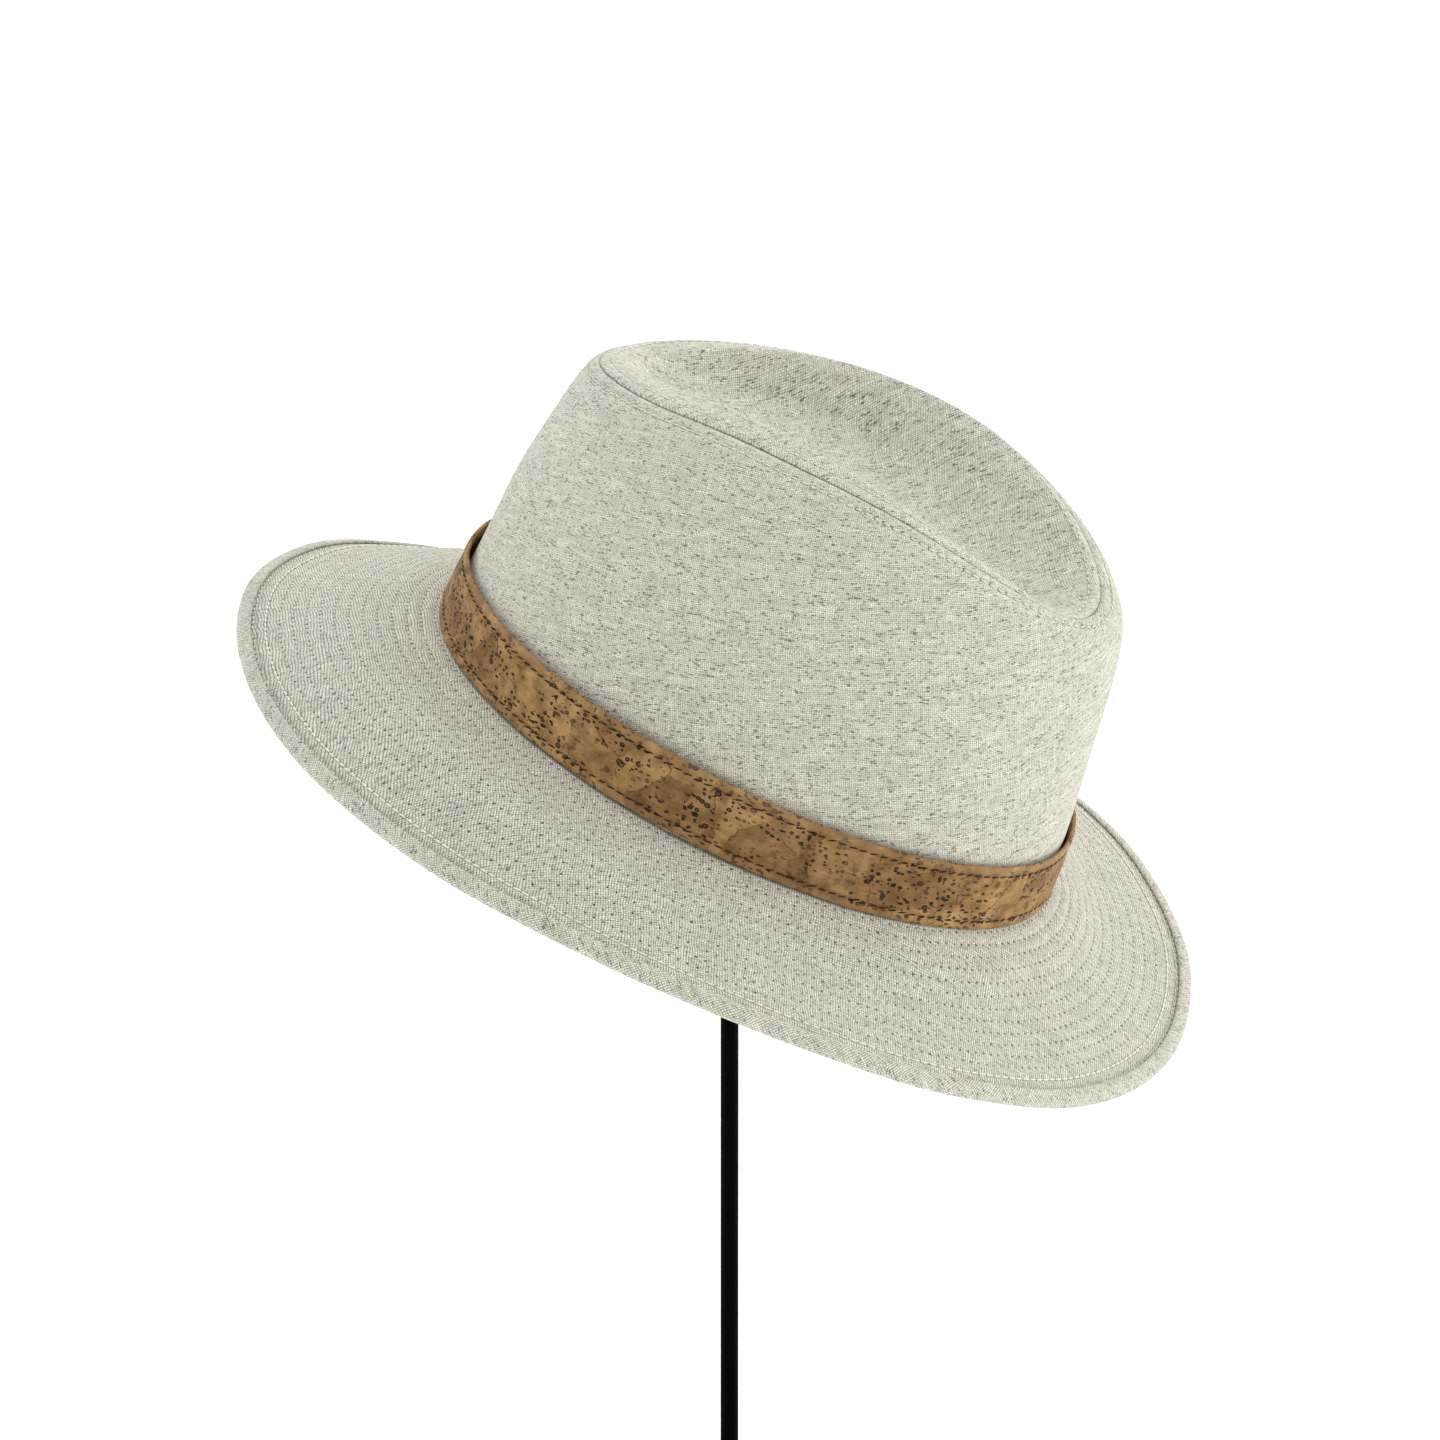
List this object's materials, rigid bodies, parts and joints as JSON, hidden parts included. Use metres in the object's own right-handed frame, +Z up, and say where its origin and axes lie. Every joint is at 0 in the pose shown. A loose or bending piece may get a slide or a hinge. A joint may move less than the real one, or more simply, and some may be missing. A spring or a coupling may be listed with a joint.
{
  "type": "safari hat on rod stand",
  "caption": "Canvas safari hat with a dented crown, a down-curved brim bound at its edge and a cork hat band, tipped forward on a plain rod stand.",
  "frame": {"origin": "centre of the flat underside of the stand's base", "axes": "+Z up along the rod, +X the way the front of the hat points, -Z out of the underside of the base"},
  "size_m": [0.2927, 0.2798, 0.3806],
  "materials": {
    "canvas": "unbleached cotton canvas with grey flecks",
    "cork": "thin cork with dark pores on a cloth backing",
    "black_metal": "satin black powder coat",
    "black_rubber": "matte"
  },
  "bodies": {
    "root": {"crown_side": "canvas", "crown_tip": "canvas", "brim": "canvas", "brim_binding": "canvas", "hat_band": "cork", "stand_base": "black_metal", "stand_rod": "black_metal", "stand_knob": "black_rubber"}
  },
  "joints": []
}
